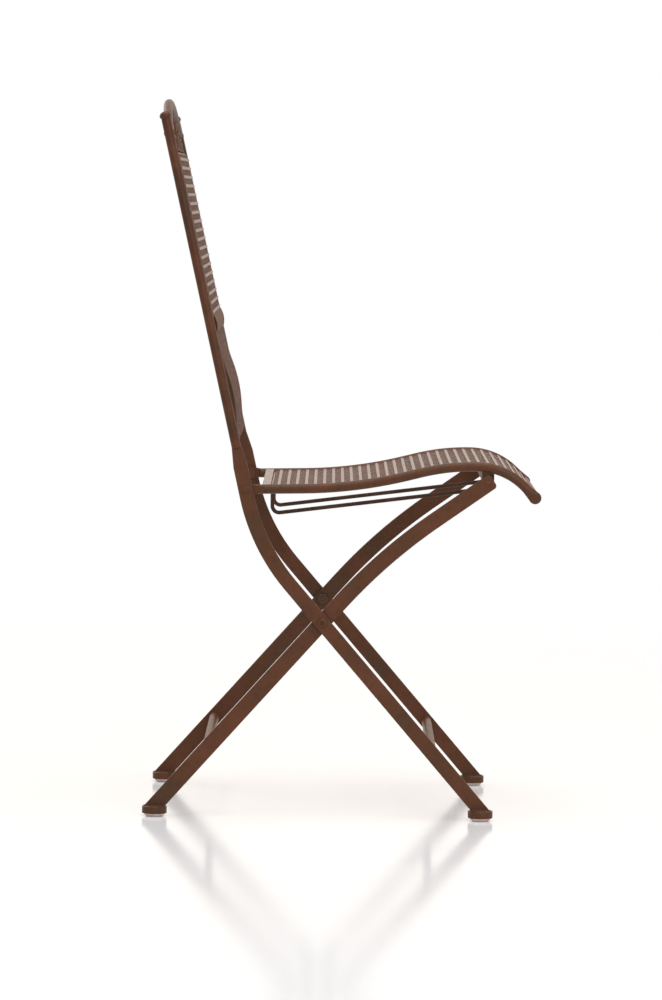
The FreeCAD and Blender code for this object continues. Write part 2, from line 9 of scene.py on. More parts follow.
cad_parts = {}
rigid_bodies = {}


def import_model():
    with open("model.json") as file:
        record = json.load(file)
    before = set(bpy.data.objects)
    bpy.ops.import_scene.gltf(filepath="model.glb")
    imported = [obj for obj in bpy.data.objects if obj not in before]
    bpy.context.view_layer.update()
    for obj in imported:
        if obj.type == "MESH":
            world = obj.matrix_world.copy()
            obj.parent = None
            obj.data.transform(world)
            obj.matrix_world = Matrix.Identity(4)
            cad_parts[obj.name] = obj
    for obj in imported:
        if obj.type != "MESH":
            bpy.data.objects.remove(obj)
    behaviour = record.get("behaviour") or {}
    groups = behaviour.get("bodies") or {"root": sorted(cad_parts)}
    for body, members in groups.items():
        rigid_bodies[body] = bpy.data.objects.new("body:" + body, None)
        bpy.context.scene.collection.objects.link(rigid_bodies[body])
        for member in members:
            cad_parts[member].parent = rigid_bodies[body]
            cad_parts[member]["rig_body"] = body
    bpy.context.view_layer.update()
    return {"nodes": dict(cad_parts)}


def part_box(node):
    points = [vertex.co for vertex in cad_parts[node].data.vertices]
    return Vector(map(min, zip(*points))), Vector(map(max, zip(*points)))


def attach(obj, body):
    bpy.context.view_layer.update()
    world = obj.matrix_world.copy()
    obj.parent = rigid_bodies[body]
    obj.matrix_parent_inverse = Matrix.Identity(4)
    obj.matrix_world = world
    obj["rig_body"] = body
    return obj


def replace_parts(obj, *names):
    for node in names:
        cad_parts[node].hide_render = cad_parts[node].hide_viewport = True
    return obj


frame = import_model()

MM = 0.001
SIDES = (-1, 1)
UP = Vector((0, 0, 1))
ACROSS = Vector((0, 1, 0))
POSTS = ("right_back_post", "left_back_post")
LEGS = ("right_front_leg", "left_front_leg", "right_rear_leg", "left_rear_leg")

# How the meshes of the frame are read
SAME_SPOT = 0.002 * MM
END_REACH = 0.05 * MM
FLAT_ANGLE = math.radians(0.4)
SHARP_ANGLE = math.radians(42)

# Turned forms, in shares of their height or radius
DOME_STEPS = 12
FINIAL_COLLAR, FINIAL_FLARE, FINIAL_SHOULDER = 0.2, 0.29, 0.455
FINIAL_ROUND = 0.5 * MM
HEAD_RIM = 0.22
HEAD_ROUND = 0.25 * MM
SOCKET_STEPS = 8
SOCKET_FLOOR, SOCKET_MOUTH, SOCKET_FOOT = 0.35, 0.44, 0.38
BOWL_STEPS = 8
CAP_TOP_SLOPE = 0.3

# Welds, in shares of the bead and tack sizes
RAIL_BEAD, WIRE_BEAD, BAR_BEAD, GROUND_BEAD = 0.8, 0.7, 0.6, 0.55
POST_TACK, SCROLL_TACK = 1.3, 1.2
TACK_SHAPE = (1.25, 0.8, 0.55)
TACK_LUMP = 0.25
BEAD_SIDES = 8
BEAD_DIP, BEAD_SWELL, BEAD_LUMP = 0.86, 0.22, 0.12
BAR_END_TACKS = 10

FLOOR_RADIUS = 3.0
FLOOR_FADE_FROM = 0.7

bl_info = {
    "name": "Folding Garden Chair",
    "version": (1, 0, 0),
    "blender": (4, 5, 0),
    "location": "View3D > Sidebar > Garden Chair",
    "description": "Dresses the frame of a folding iron garden chair in worn brown paint",
    "category": "Object",
}


def linear(code):
    """Linear RGB of an sRGB hex colour."""
    channels = [int(code[i:i + 2], 16) / 255 for i in (1, 3, 5)]
    return tuple(c / 12.92 if c <= 0.04045 else ((c + 0.055) / 1.055) ** 2.4 for c in channels)


def colour(name, description, code):
    """A colour that a user may change, given as sRGB hex."""
    return FloatVectorProperty(name=name, description=description, default=linear(code),
                               subtype="COLOR", size=3, min=0.0, max=1.0)


def size(name, description, millimetres, lowest=0.0):
    """A length that a user may change, given in millimetres."""
    return FloatProperty(name=name, description=description, default=millimetres * MM,
                         unit="LENGTH", min=lowest, precision=5)


class GardenChairFinish(bpy.types.PropertyGroup):
    """Colours of the paint and the glides."""
    brown: colour("Brown", "Main coat of the frame paint", "#56351F")
    red: colour("Red brown", "Thin places where the red undercoat shows", "#663D2A")
    olive: colour("Olive", "Rubbed glaze left in the hollows of the coat", "#503B2A")
    # Umber is also the coat of the dark edge paint: painted shade along the bar edges and on the cap tops.
    umber: colour("Umber", "Darkest glaze, along edges and in corners", "#352318")
    # Post brown is darker than the frame's brown: painted shade on the round posts and the arch.
    post: colour("Post brown", "Coat of the back posts and arch, which keep more of the glaze", "#472B1B")
    strip: colour("Strip brown", "Coat of the lattice strips, rubbed paler by use", "#6E4C3E")
    glide: colour("Glide", "Pale plastic of the foot glides", "#E3D3CB")
    glide_scuff: colour("Glide scuff", "Floor dirt rubbed into the glides", "#B9A79D")


class GardenChairSizes(bpy.types.PropertyGroup):
    """Sizes of the small work on the frame."""
    bar_edge: size("Bar edge", "Rounding along the edges of the leg bars", 0.9)
    strip_edge: size("Strip edge", "Rounding along the edges of the lattice strips", 0.28)
    scroll_edge: size("Scroll edge", "Rounding along the edges of the scrolls", 0.6)
    tube_edge: size("Tube edge", "Rounding at the cut ends of the tubes", 0.4)
    cap_edge: size("Cap edge", "Rounding along the rims of the foot caps", 0.9)
    cap_groove: size("Cap groove", "Width of the groove round the top of a foot cap", 0.9)
    nut_edge: size("Nut edge", "Chamfer of nuts and washers", 0.3)
    bead: size("Weld bead", "Half width of a weld bead between bars and tubes", 1.3)
    tack: size("Tack weld", "Half width of the tacks that hold the lattice strips", 1.5)
    ripple: size("Bead ripple", "Length of one ripple along a weld bead", 2.2)


class GardenChairStage(bpy.types.PropertyGroup):
    """Camera, floor and lamps."""
    focal: FloatProperty(name="Focal length", description="Lens on a picture 36 mm high", default=179.1,
                         unit="CAMERA")
    camera_x: size("Camera forward", "Camera place along the chair", -16.3, lowest=-1.0)
    camera_away: size("Camera distance", "Camera distance from the middle of the chair", 6667.0)
    camera_height: size("Camera height", "Camera height above the floor", 821.0)
    tilt: FloatProperty(name="Tilt", description="Downward tilt of the camera", default=math.radians(3.566),
                        subtype="ANGLE")
    roll: FloatProperty(name="Roll", description="Turn of the camera about its own axis",
                        default=math.radians(0.8), subtype="ANGLE")
    floor: colour("Floor", "Pale studio floor and backdrop", "#F1F2F4")
    lift: FloatProperty(name="Floor lift", description="White added to the floor as the camera sees it",
                        default=0.12)
    glow: colour("Glow", "Warm white of the room as the paint mirrors it", "#FFF4E9")
    sky: FloatProperty(name="Surround", description="Strength of the even light from all round", default=0.4)
    key: FloatProperty(name="Key lamp", description="Power of the large lamp overhead", default=150.0,
                       unit="POWER")
    fill: FloatProperty(name="Fill lamp", description="Power of the lamp beside the camera", default=55.0,
                        unit="POWER")
    far: FloatProperty(name="Far lamp", description="Power of the lamp on the far side", default=33.0,
                       unit="POWER")


def finish_of(context):
    return context.scene.garden_chair_finish


def sizes_of(context):
    return context.scene.garden_chair_sizes


def stage_of(context):
    return context.scene.garden_chair_stage


def add_node(tree, kind, settings=None, links=None):
    """Add a node; settings go to its sockets or attributes, and links join its inputs to outputs."""
    node = tree.nodes.new(kind)
    attributes = {k: v for k, v in (settings or {}).items() if isinstance(k, str) and hasattr(node, k)}
    for key, value in attributes.items():
        setattr(node, key, value)
    for key, value in (settings or {}).items():
        if key not in attributes:
            node.inputs[key].default_value = value
    for key, source in (links or {}).items():
        tree.links.new(source, node.inputs[key])
    return node


def per_metre(millimetres):
    """Noise scale at which one wave of the pattern is this long."""
    return 1 / (millimetres * MM)


def rgba(colour_value):
    return (*colour_value, 1.0)


def painted_iron(name, finish, coat, under, patch_mm, speck_mm, peel_mm, dullness, shine):
    """Brown paint on iron: a red undercoat, a brown coat and a dark glaze that was wiped back by hand.

    It gives the eye cloudy patches a few centimetres long, fine specks of glaze between them,
    a satin sheen that breaks up from patch to patch, and a faint orange peel from the spray.
    """
    made = bpy.data.materials.get(name)
    if made:
        return made
    made = bpy.data.materials.new(name)
    made.use_nodes = True
    tree = made.node_tree
    tree.nodes.clear()
    place = add_node(tree, "ShaderNodeTexCoord").outputs["Object"]
    patches = add_node(tree, "ShaderNodeTexNoise",
                       {"Scale": per_metre(patch_mm), "Detail": 4.0, "Roughness": 0.6}, {"Vector": place})
    specks = add_node(tree, "ShaderNodeTexNoise",
                      {"Scale": per_metre(speck_mm), "Detail": 3.0, "Roughness": 0.7}, {"Vector": place})
    # The spray's orange peel is finer than a pixel of the picture, so it is drawn coarser to show.
    peel = add_node(tree, "ShaderNodeTexNoise", {"Scale": per_metre(peel_mm), "Detail": 2.0},
                    {"Vector": place})
    thin = add_node(tree, "ShaderNodeMapRange", {"From Min": 0.4, "From Max": 0.7},
                    {"Value": patches.outputs["Fac"]})
    worn = add_node(tree, "ShaderNodeMapRange", {"From Min": 0.28, "From Max": 0.5, "To Min": 0.8,
                                                 "To Max": 0.0}, {"Value": patches.outputs["Fac"]})
    wiped = add_node(tree, "ShaderNodeMapRange", {"From Min": 0.5, "From Max": 0.8, "To Max": 0.45},
                     {"Value": specks.outputs["Fac"]})
    base = add_node(tree, "ShaderNodeMix", {"data_type": "RGBA", 6: rgba(coat), 7: rgba(under)},
                    {0: thin.outputs["Result"]})
    hollow = add_node(tree, "ShaderNodeMix", {"data_type": "RGBA", 7: rgba(finish.olive)},
                      {0: worn.outputs["Result"], 6: base.outputs[2]})
    glaze = add_node(tree, "ShaderNodeMix", {"data_type": "RGBA", 7: rgba(finish.umber)},
                     {0: wiped.outputs["Result"], 6: hollow.outputs[2]})
    sheen = add_node(tree, "ShaderNodeMapRange",
                     {"From Min": 0.3, "From Max": 0.7, "To Min": dullness - 0.07, "To Max": dullness + 0.09},
                     {"Value": specks.outputs["Fac"]})
    bump = add_node(tree, "ShaderNodeBump", {"Strength": 0.35, "Distance": 0.15 * MM},
                    {"Height": peel.outputs["Fac"]})
    shader = add_node(tree, "ShaderNodeBsdfPrincipled", {"IOR": 1.5, "Specular IOR Level": shine},
                      {"Base Color": glaze.outputs[2], "Roughness": sheen.outputs["Result"],
                       "Normal": bump.outputs["Normal"]})
    add_node(tree, "ShaderNodeOutputMaterial", None, {"Surface": shader.outputs["BSDF"]})
    return made


def frame_paint(context):
    """Bars, rails and rods: long cloudy patches from red to olive brown under a quiet satin sheen."""
    finish = finish_of(context)
    return painted_iron("wiped brown paint on iron", finish, finish.brown, finish.red,
                        patch_mm=60.0, speck_mm=7.0, peel_mm=2.2, dullness=0.4, shine=0.2)


def strip_paint(context):
    """Seat strips: rubbed paler and smoother by use, so that they mirror the room at a low angle."""
    finish = finish_of(context)
    return painted_iron("wiped brown paint on strip iron", finish, finish.strip, finish.red,
                        patch_mm=40.0, speck_mm=5.0, peel_mm=2.2, dullness=0.25, shine=0.5)


def back_paint(context):
    """Back strips: the seat strips' pale coat, less polished, so that the lattice shines less."""
    finish = finish_of(context)
    return painted_iron("wiped brown paint on back strips", finish, finish.strip, finish.red,
                        patch_mm=40.0, speck_mm=5.0, peel_mm=2.2, dullness=0.34, shine=0.3)


def post_paint(context):
    """Posts and arch: a darker coat as painted shade on the round tubes, with red showing in the thin places.
    """
    finish = finish_of(context)
    return painted_iron("dark brown paint on tube", finish, finish.post, finish.red,
                        patch_mm=60.0, speck_mm=7.0, peel_mm=2.2, dullness=0.4, shine=0.2)


def band_paint(context):
    """Half-round bar: the frame's brown gone dull, in small patches and with hardly a highlight."""
    finish = finish_of(context)
    return painted_iron("dull brown paint on half-round bar", finish, finish.brown, finish.red,
                        patch_mm=20.0, speck_mm=5.0, peel_mm=2.2, dullness=0.55, shine=0.13)


def wire_paint(context):
    """Guide wires and rod stops: a dark, even umber brown; on the rod stops it is painted shade."""
    finish = finish_of(context)
    return painted_iron("umber brown paint on wire", finish, finish.post, finish.umber,
                        patch_mm=40.0, speck_mm=5.0, peel_mm=1.5, dullness=0.42, shine=0.25)


def glaze_and_shade_paint(context):
    """Dark, glossy umber coat: on the bar edges and the cap tops it is painted shade, a dark line round the
    bars and dark cap tops.
    """
    finish = finish_of(context)
    return painted_iron("umber glaze and painted shade on brown paint", finish, finish.umber, finish.olive,
                        patch_mm=25.0, speck_mm=4.0, peel_mm=1.5, dullness=0.3, shine=0.45)


def fastener_paint(context):
    """Bolts and nuts: painted over in place, with fine specks where turning has worn the coat."""
    finish = finish_of(context)
    return painted_iron("brown paint over steel fasteners", finish, finish.brown, finish.red,
                        patch_mm=20.0, speck_mm=2.5, peel_mm=1.5, dullness=0.46, shine=0.2)


def glide_plastic(context):
    """Moulded polyethylene: pale, soft-edged and waxy, with grey floor dirt rubbed into its face."""
    made = bpy.data.materials.get("moulded pale polyethylene")
    if made:
        return made
    finish = finish_of(context)
    made = bpy.data.materials.new("moulded pale polyethylene")
    made.use_nodes = True
    tree = made.node_tree
    tree.nodes.clear()
    place = add_node(tree, "ShaderNodeTexCoord").outputs["Object"]
    dirt = add_node(tree, "ShaderNodeTexNoise", {"Scale": per_metre(6.0), "Detail": 5.0, "Roughness": 0.65},
                    {"Vector": place})
    rubbed = add_node(tree, "ShaderNodeMapRange", {"From Min": 0.48, "From Max": 0.75},
                      {"Value": dirt.outputs["Fac"]})
    tint = add_node(tree, "ShaderNodeMix", {"data_type": "RGBA", 6: rgba(finish.glide),
                                            7: rgba(finish.glide_scuff)}, {0: rubbed.outputs["Result"]})
    dull = add_node(tree, "ShaderNodeMapRange", {"To Min": 0.42, "To Max": 0.62},
                    {"Value": dirt.outputs["Fac"]})
    bump = add_node(tree, "ShaderNodeBump", {"Strength": 0.2, "Distance": 0.1 * MM},
                    {"Height": dirt.outputs["Fac"]})
    shader = add_node(tree, "ShaderNodeBsdfPrincipled", {"IOR": 1.51},
                      {"Base Color": tint.outputs[2], "Roughness": dull.outputs["Result"],
                       "Normal": bump.outputs["Normal"]})
    add_node(tree, "ShaderNodeOutputMaterial", None, {"Surface": shader.outputs["BSDF"]})
    return made


def node_mesh(name):
    return frame["nodes"][name].data


def body_of(name):
    return frame["nodes"][name]["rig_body"]


def new_piece(name, bm, body, material, smooth_below=40.0):
    """Turn a bmesh into a shaded piece that rides on a body of the chair."""
    bmesh.ops.recalc_face_normals(bm, faces=bm.faces)
    mesh = bpy.data.meshes.new(name)
    bm.to_mesh(mesh)
    bm.free()
    mesh.materials.append(material)
    mesh.shade_smooth()
    mesh.set_sharp_from_angle(angle=math.radians(smooth_below))
    piece = bpy.data.objects.new(name, mesh)
    bpy.context.scene.collection.objects.link(piece)
    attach(piece, body)
    return piece


def worked(node, edge, material, segments=3, shaded_edge_material=None):
    """The node's own form with its sharp edges rounded over, as a file or a press leaves them."""
    bm = bmesh.new()
    bm.from_mesh(node_mesh(node))
    bmesh.ops.remove_doubles(bm, verts=bm.verts, dist=SAME_SPOT)
    bmesh.ops.dissolve_limit(bm, angle_limit=FLAT_ANGLE, verts=bm.verts, edges=bm.edges)
    sharp = [e for e in bm.edges if len(e.link_faces) == 2 and e.calc_face_angle() > SHARP_ANGLE]
    # A second material on the rounded edges paints them darker: painted shade along the edges.
    bmesh.ops.bevel(bm, geom=sharp, offset=edge, segments=segments, profile=0.5, affect="EDGES",
                    clamp_overlap=True, material=1 if shaded_edge_material else -1)
    piece = new_piece("painted_" + node, bm, body_of(node), material)
    if shaded_edge_material:
        piece.data.materials.append(shaded_edge_material)
    piece.modifiers.new("even shading", "WEIGHTED_NORMAL").keep_sharp = True
    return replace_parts(piece, node)


def turned(bm, profile, foot, axis, around=56):
    """Add a form turned on a lathe: the profile lists height and radius along the axis from its foot."""
    turn = UP.rotation_difference(axis).to_matrix()
    angles = [2 * math.pi * i / around for i in range(around)]
    rings = []
    for height, radius in profile:
        if radius < 0.01 * MM:
            rings.append([bm.verts.new(foot + turn @ Vector((0, 0, height)))])
        else:
            spots = [Vector((radius * math.cos(a), radius * math.sin(a), height)) for a in angles]
            rings.append([bm.verts.new(foot + turn @ spot) for spot in spots])
    for low, high in zip(rings, rings[1:]):
        for i in range(around):
            j = (i + 1) % around
            if len(low) == 1:
                bm.faces.new((low[0], high[j], high[i]))
            elif len(high) == 1:
                bm.faces.new((low[i], low[j], high[0]))
            else:
                bm.faces.new((low[i], low[j], high[j], high[i]))
    for ring, rim in ((rings[0], rings[0][::-1]), (rings[-1], rings[-1])):
        if len(ring) > 1:
            bm.faces.new(rim)


def rounded(corners, radius, steps=5):
    """A profile of heights and radii with each inner corner rounded over."""
    out = [corners[0]]
    for before, corner, after in zip(corners, corners[1:], corners[2:]):
        spot = Vector(corner)
        into = Vector(before) - spot
        away = Vector(after) - spot
        reach = min(radius, into.length * 0.45, away.length * 0.45)
        start = spot + into.normalized() * reach
        end = spot + away.normalized() * reach
        for i in range(steps + 1):
            t = i / steps
            out.append(tuple(start * (1 - t) ** 2 + spot * (2 * t * (1 - t)) + end * t ** 2))
    return out + [corners[-1]]


def dome(foot, height, radius, steps=DOME_STEPS):
    """Profile of a dome above a foot; fewer steps than a whole quarter turn leave its top open."""
    angles = [math.pi / 2 * i / DOME_STEPS for i in range(1, steps + 1)]
    return [(foot + height * math.sin(a), radius * math.cos(a)) for a in angles]


def axis_of(node):
    """Foot and top of a straight tube: the middles of its two end rings."""
    spots = loose_parts(node)[0]
    level = sum(p.z for p in spots) / len(spots)
    ends = []
    for keep in ([p for p in spots if p.z < level], [p for p in spots if p.z >= level]):
        ends.append(sum(keep, Vector()) / len(keep))
    return ends


def post_line(post):
    """Foot of a post, the way it points and its radius."""
    foot, top = axis_of(post)
    along = (top - foot).normalized()
    spots = loose_parts(post)[0]
    return foot, along, max((p - foot - along * (p - foot).dot(along)).length for p in spots)


def loose_parts(node):
    """Vertex places of each separate bar or strip in a node."""
    bm = bmesh.new()
    bm.from_mesh(node_mesh(node))
    bmesh.ops.remove_doubles(bm, verts=bm.verts, dist=SAME_SPOT)
    bm.verts.ensure_lookup_table()
    seen = set()
    parts = []
    for start in bm.verts:
        if start.index in seen:
            continue
        seen.add(start.index)
        queue = [start]
        part = []
        while queue:
            vert = queue.pop()
            part.append(vert.co.copy())
            for edge in vert.link_edges:
                other = edge.other_vert(vert)
                if other.index not in seen:
                    seen.add(other.index)
                    queue.append(other)
        parts.append(part)
    bm.free()
    return parts


class GARDEN_CHAIR_OT_leg_bars(bpy.types.Operator):
    """Round over the edges of the curved flat bars and paint them"""
    bl_idname = "garden_chair.leg_bars"
    bl_label = "Leg bars"

    def execute(self, context):
        edge = sizes_of(context).bar_edge
        for node in LEGS:
            # The rounded edges of the bars take the dark umber paint: painted shade along the edges.
            worked(node, edge, frame_paint(context), 3, glaze_and_shade_paint(context))
        return {"FINISHED"}


class GARDEN_CHAIR_OT_tubes(bpy.types.Operator):
    """Paint the round tubes, rods and wires"""
    bl_idname = "garden_chair.tubes"
    bl_label = "Tubes and wires"

    def execute(self, context):
        edge = sizes_of(context).tube_edge
        # The posts and arch take the darker post paint: painted shade on the round tubes.
        for node in (*POSTS, "back_top_rail"):
            worked(node, edge, post_paint(context), 2)
        worked("panel_middle_rail", edge, band_paint(context), 2)
        for node in ("panel_top_rail", "back_bottom_rail", "front_stretcher", "rear_stretcher",
                     "right_seat_rail", "left_seat_rail", "seat_front_rail", "slide_rod"):
            worked(node, edge, frame_paint(context), 2)
        # The rod stops take the dark wire paint: painted shade on the blocks under the rails.
        for node in ("right_guide_wire", "left_guide_wire", "rod_stops"):
            worked(node, edge, wire_paint(context), 2)
        return {"FINISHED"}


class GARDEN_CHAIR_OT_lattice(bpy.types.Operator):
    """Soften and paint the strips of the seat and the back"""
    bl_idname = "garden_chair.lattice"
    bl_label = "Lattice strips"

    def execute(self, context):
        edge = sizes_of(context).strip_edge
        for node in ("seat_lengthwise_strips", "seat_cross_strips", "seat_rear_border"):
            worked(node, edge, strip_paint(context), 2)
        worked("back_cross_strips", edge, back_paint(context), 2)
        # The uprights' edges take the darker post paint: painted shade along the edges of the uprights.
        worked("back_uprights", edge, back_paint(context), 2, post_paint(context))
        return {"FINISHED"}


class GARDEN_CHAIR_OT_scrolls(bpy.types.Operator):
    """Soften and paint the scrolls under the arch"""
    bl_idname = "garden_chair.scrolls"
    bl_label = "Arch scrolls"

    def execute(self, context):
        worked("arch_scrolls", sizes_of(context).scroll_edge, frame_paint(context), 2)
        return {"FINISHED"}


class GARDEN_CHAIR_OT_finials(bpy.types.Operator):
    """Turn the domed finials that close the posts"""
    bl_idname = "garden_chair.finials"
    bl_label = "Finials"

    def execute(self, context):
        bm = bmesh.new()
        for name in POSTS:
            foot, top = axis_of(name)
            axis = (top - foot).normalized()
            tips = [v.co for v in node_mesh("post_finials").vertices if v.co.y * top.y > 0]
            heights = [(p - top).dot(axis) for p in tips]
            radii = [((p - top) - axis * h).length for p, h in zip(tips, heights)]
            tall, wide = max(heights), max(radii)
            neck = max(r for h, r in zip(heights, radii) if abs(h) < 0.2 * MM)
            spigot = max(r for h, r in zip(heights, radii) if h < -0.2 * MM)
            shoulder = tall * FINIAL_SHOULDER
            profile = rounded([(min(heights), 0.0), (min(heights), spigot), (0.0, spigot), (0.0, neck),
                               (tall * FINIAL_COLLAR, neck), (tall * FINIAL_FLARE, wide), (shoulder, wide)],
                              FINIAL_ROUND)
            turned(bm, profile + dome(shoulder, tall - shoulder, wide), top, axis)
        piece = new_piece("turned_finials", bm, body_of("post_finials"), post_paint(context))
        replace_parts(piece, "post_finials")
        return {"FINISHED"}


class GARDEN_CHAIR_OT_feet(bpy.types.Operator):
    """Press the round foot caps and mould the pale glides under them"""
    bl_idname = "garden_chair.feet"
    bl_label = "Feet"

    def execute(self, context):
        sizes = sizes_of(context)
        for end in ("front", "rear"):
            low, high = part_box(end + "_foot_caps")
            glide_low, glide_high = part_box(end + "_foot_glides")
            radius = (high.x - low.x) / 2
            rim = (glide_high.x - glide_low.x) / 2
            flat = [p.x for p in loose_parts(end + "_foot_glides")[0] if p.z < END_REACH]
            sole = (max(flat) - min(flat)) / 2
            groove = sizes.cap_groove
            lip = radius - 2.5 * groove
            sunk = high.z - groove
            caps = bmesh.new()
            glides = bmesh.new()
            for side in SIDES:
                middle = Vector(((low.x + high.x) / 2, side * (high.y - radius), 0))
                cap = rounded([(low.z, 0.0), (low.z, radius), (high.z, radius), (high.z, lip),
                               (sunk, lip - groove), (sunk, lip - 2 * groove),
                               (high.z, lip - 3 * groove), (high.z, 0.0)], sizes.cap_edge)
                turned(caps, cap, middle, UP)
                shares = [i / BOWL_STEPS for i in range(BOWL_STEPS + 1)]
                bowl = [(low.z * share ** 2, sole + (rim - sole) * share) for share in shares]
                turned(glides, [(0.0, 0.0)] + bowl + [(low.z, 0.0)], middle, UP)
            body = body_of(end + "_foot_caps")
            cap_piece = new_piece("pressed_" + end + "_foot_caps", caps, body, frame_paint(context))
            # The upward faces of the caps take the dark umber paint: painted shade on the cap tops round the
            # leg.
            cap_piece.data.materials.append(glaze_and_shade_paint(context))
            for face in cap_piece.data.polygons:
                face.material_index = int(face.normal.z > CAP_TOP_SLOPE)
            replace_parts(cap_piece, end + "_foot_caps")
            glide_piece = new_piece("moulded_" + end + "_foot_glides", glides, body,
                                    glide_plastic(context))
            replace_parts(glide_piece, end + "_foot_glides")
        return {"FINISHED"}


class GARDEN_CHAIR_OT_fasteners(bpy.types.Operator):
    """Turn the bolt and rivet heads and chamfer the nuts and washers"""
    bl_idname = "garden_chair.fasteners"
    bl_label = "Pivot fasteners"

    def execute(self, context):
        paint = fastener_paint(context)
        for node in ("leg_pivot_bolts", "seat_pivot_bolts", "rod_rivets"):
            low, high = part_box(node)
            middle = (low + high) / 2
            head = (high.x - low.x) / 2
            rings = [(v.co.y, math.hypot(v.co.x - middle.x, v.co.z - middle.z))
                     for v in node_mesh(node).vertices if v.co.y > 0]
            inner = min(y for y, r in rings)
            seat = min(y for y, r in rings if r > head * 0.98)
            shank = max(r for y, r in rings if y < seat - 0.1 * MM)
            under = seat - inner
            rise = high.y - seat
            brim = under + rise * HEAD_RIM
            profile = rounded([(0.0, 0.0), (0.0, shank), (under, shank), (under, head), (brim, head)],
                              HEAD_ROUND)
            if node == "leg_pivot_bolts":
                profile += dome(brim, rise * (1 - HEAD_RIM), head, SOCKET_STEPS)
                socket = under + rise * SOCKET_FLOOR
                profile += [(profile[-1][0], head * SOCKET_MOUTH), (socket, head * SOCKET_FOOT), (socket, 0.0)]
            else:
                profile += dome(brim, rise * (1 - HEAD_RIM), head)
            bm = bmesh.new()
            for side in SIDES:
                turned(bm, profile, Vector((middle.x, side * inner, middle.z)), ACROSS * side)
            piece = new_piece("turned_" + node, bm, body_of(node), paint)
            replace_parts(piece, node)
        edge = sizes_of(context).nut_edge
        for node in ("leg_pivot_washers", "leg_pivot_nuts"):
            worked(node, edge, glaze_and_shade_paint(context), 2)
        for node in ("seat_pivot_washers", "seat_pivot_nuts"):
            worked(node, edge, paint, 2)
        return {"FINISHED"}


def ring(centre, axis, radius, around=44):
    """Places round a circle that stands square to an axis."""
    turn = UP.rotation_difference(axis).to_matrix()
    angles = [2 * math.pi * i / around for i in range(around)]
    return [centre + turn @ Vector((radius * math.cos(a), radius * math.sin(a), 0)) for a in angles]


def resampled(loop, count=52):
    """The same closed line with its places evenly spaced."""
    lengths = [(b - a).length for a, b in zip(loop, loop[1:] + loop[:1])]
    step = sum(lengths) / count
    out = []
    walked, at, gone = 0.0, 0, 0.0
    for i in range(count):
        while at < len(lengths) - 1 and gone + lengths[at] < walked:
            gone += lengths[at]
            at += 1
        start, end = loop[at], loop[(at + 1) % len(loop)]
        out.append(start.lerp(end, (walked - gone) / lengths[at]))
        walked += step
    return out


def weld_bead(bm, loop, half, ripple):
    """Add a closed weld bead: a worm of metal that swells and dips once for each ripple."""
    count = len(loop)
    centre = sum(loop, Vector()) / count
    length = sum((b - a).length for a, b in zip(loop, loop[1:] + loop[:1]))
    swells = max(4, round(length / ripple))
    angles = [2 * math.pi * k / BEAD_SIDES for k in range(BEAD_SIDES)]
    rings = []
    for i, spot in enumerate(loop):
        ahead = (loop[(i + 1) % count] - loop[i - 1]).normalized()
        out = spot - centre
        out = (out - ahead * out.dot(ahead)).normalized()
        across = ahead.cross(out)
        swell = BEAD_DIP + BEAD_SWELL * abs(math.sin(math.pi * swells * i / count))
        swell += BEAD_LUMP * noise.noise(spot * per_metre(4.0))
        rings.append([bm.verts.new(spot + (out * math.cos(a) + across * math.sin(a)) * half * swell)
                      for a in angles])
    for low, high in zip(rings, rings[1:] + rings[:1]):
        for k in range(BEAD_SIDES):
            j = (k + 1) % BEAD_SIDES
            bm.faces.new((low[k], low[j], high[j], high[k]))


def tack_weld(bm, at, ahead, up, half):
    """Add a small tack: a flattened drop of metal, longest across the end of its strip."""
    side = ahead.cross(up)
    turn = Matrix((ahead, side, up)).transposed()
    made = bmesh.ops.create_icosphere(bm, subdivisions=2, radius=half)["verts"]
    for vert in made:
        drop = vert.co.copy()
        drop *= 1 + TACK_LUMP * noise.noise((drop + at) * per_metre(1.7))
        vert.co = at + turn @ (drop * Vector(TACK_SHAPE))


